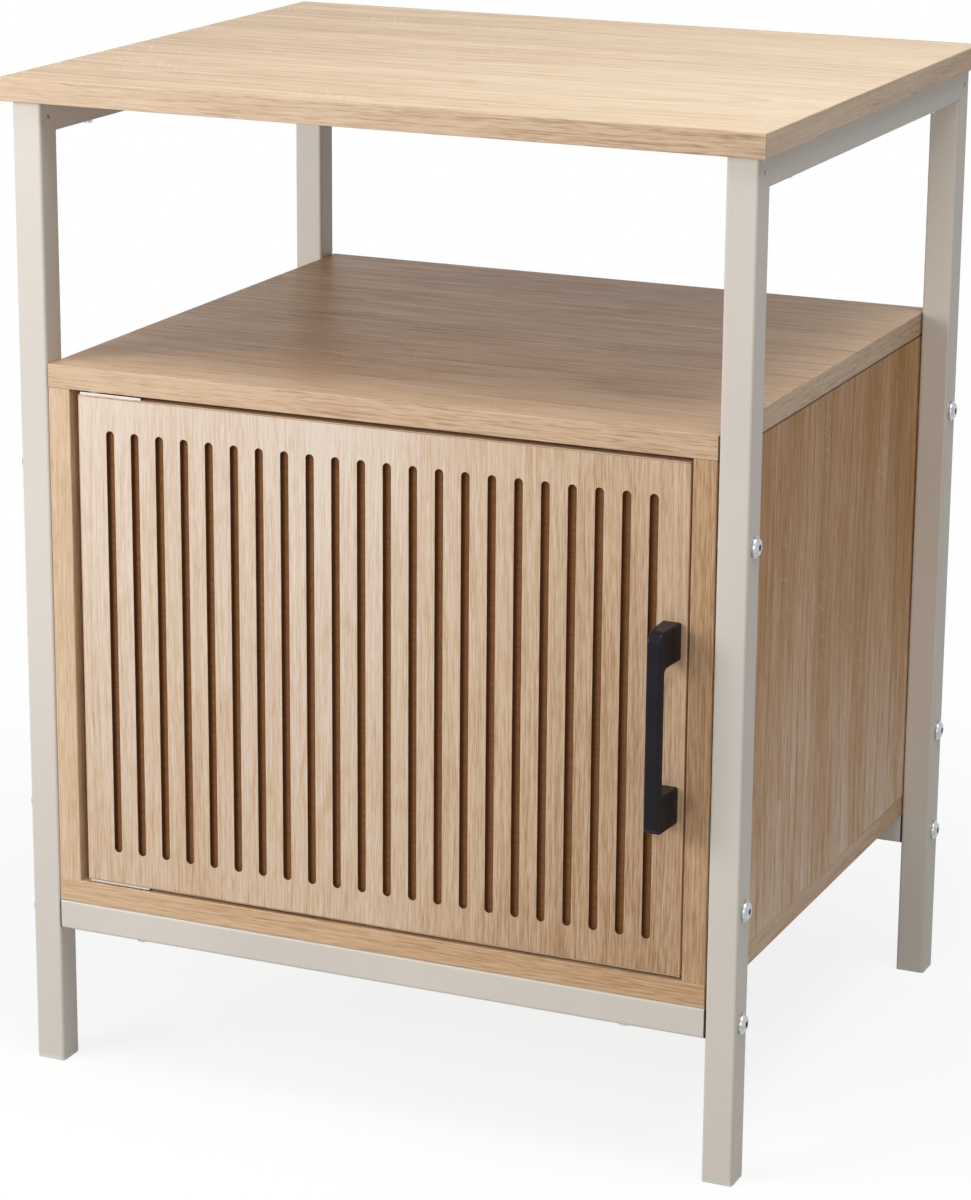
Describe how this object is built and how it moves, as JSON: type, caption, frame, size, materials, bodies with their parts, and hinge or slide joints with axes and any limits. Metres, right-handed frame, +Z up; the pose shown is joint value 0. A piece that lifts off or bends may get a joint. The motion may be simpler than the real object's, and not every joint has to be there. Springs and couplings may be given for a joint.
{
  "type": "storage side table",
  "caption": "Side table with a steel tube frame, a wood-look top, an open bay and a low cabinet behind one grooved, side-hung door with a bow handle.",
  "frame": {"origin": "on the floor, under the middle of the whole footprint with the handle included", "axes": "+X to the right as seen from the front, +Y from the door to the back, +Z up"},
  "size_m": [0.5, 0.4424, 0.65],
  "materials": {
    "oak_board": "light oak laminate, satin",
    "oak_edge_strip": "light oak edge strip, satin",
    "back_board": "thin board, light oak face",
    "dowel_wood": "plain hardwood",
    "frame_paint": "warm grey powder coat, fine satin",
    "foot_plastic": "pale plastic",
    "dark_plastic": "black plastic",
    "zinc_steel": "zinc plated",
    "cam_alloy": "die-cast zinc",
    "bright_steel": "bright plated",
    "nylon": "plain nylon",
    "handle_black": "matte black",
    "catch_plastic": "white plastic",
    "magnet_ferrite": "sintered ferrite"
  },
  "bodies": {
    "stand": {"bottom_hinge_frame_leaf": "bright_steel", "cabinet_back_panel": "back_board", "cabinet_bolts": "zinc_steel", "cabinet_bottom_edge_bands": "oak_edge_strip", "cabinet_bottom_panel": "oak_board", "cabinet_dowels": "dowel_wood", "cabinet_floor_screws": "zinc_steel", "cabinet_left_side": "oak_board", "cabinet_right_side": "oak_board", "cabinet_side_edge_bands": "oak_edge_strip", "cabinet_top_edge_bands": "oak_edge_strip", "cabinet_top_panel": "oak_board", "cam_bolts": "zinc_steel", "cam_locks": "cam_alloy", "catch_housing": "catch_plastic", "catch_magnet": "magnet_ferrite", "catch_pole_plates": "zinc_steel", "catch_screws": "zinc_steel", "crossbar_bolts": "zinc_steel", "crossbar_end_plugs": "dark_plastic", "crossbar_nuts": "zinc_steel", "front_crossbar": "frame_paint", "hinge_frame_screws": "bright_steel", "left_front_foot_cap": "foot_plastic", "left_front_leg": "frame_paint", "left_rear_foot_cap": "foot_plastic", "left_rear_leg": "frame_paint", "left_top_rail": "frame_paint", "rear_crossbar": "frame_paint", "right_front_foot_cap": "foot_plastic", "right_front_leg": "frame_paint", "right_rear_foot_cap": "foot_plastic", "right_rear_leg": "frame_paint", "right_top_rail": "frame_paint", "threaded_inserts": "zinc_steel", "top_board": "oak_board", "top_board_edge_bands": "oak_edge_strip", "top_board_screws": "zinc_steel", "top_hinge_frame_leaf": "bright_steel"},
    "door": {"door_panel": "oak_board", "door_edge_bands": "oak_edge_strip", "door_handle": "handle_black", "handle_screws": "zinc_steel", "top_hinge_door_leaf": "bright_steel", "bottom_hinge_door_leaf": "bright_steel", "hinge_pins": "bright_steel", "hinge_washers": "nylon", "hinge_door_screws": "bright_steel", "strike_plate": "zinc_steel", "strike_screws": "zinc_steel"}
  },
  "joints": [
    {"name": "door_swing", "type": "hinge", "parent": "stand", "child": "door", "pos_m": [-0.1934, -0.18475, 0.29215], "axis": [0, 0, -1], "range_deg": [0, 110]}
  ]
}
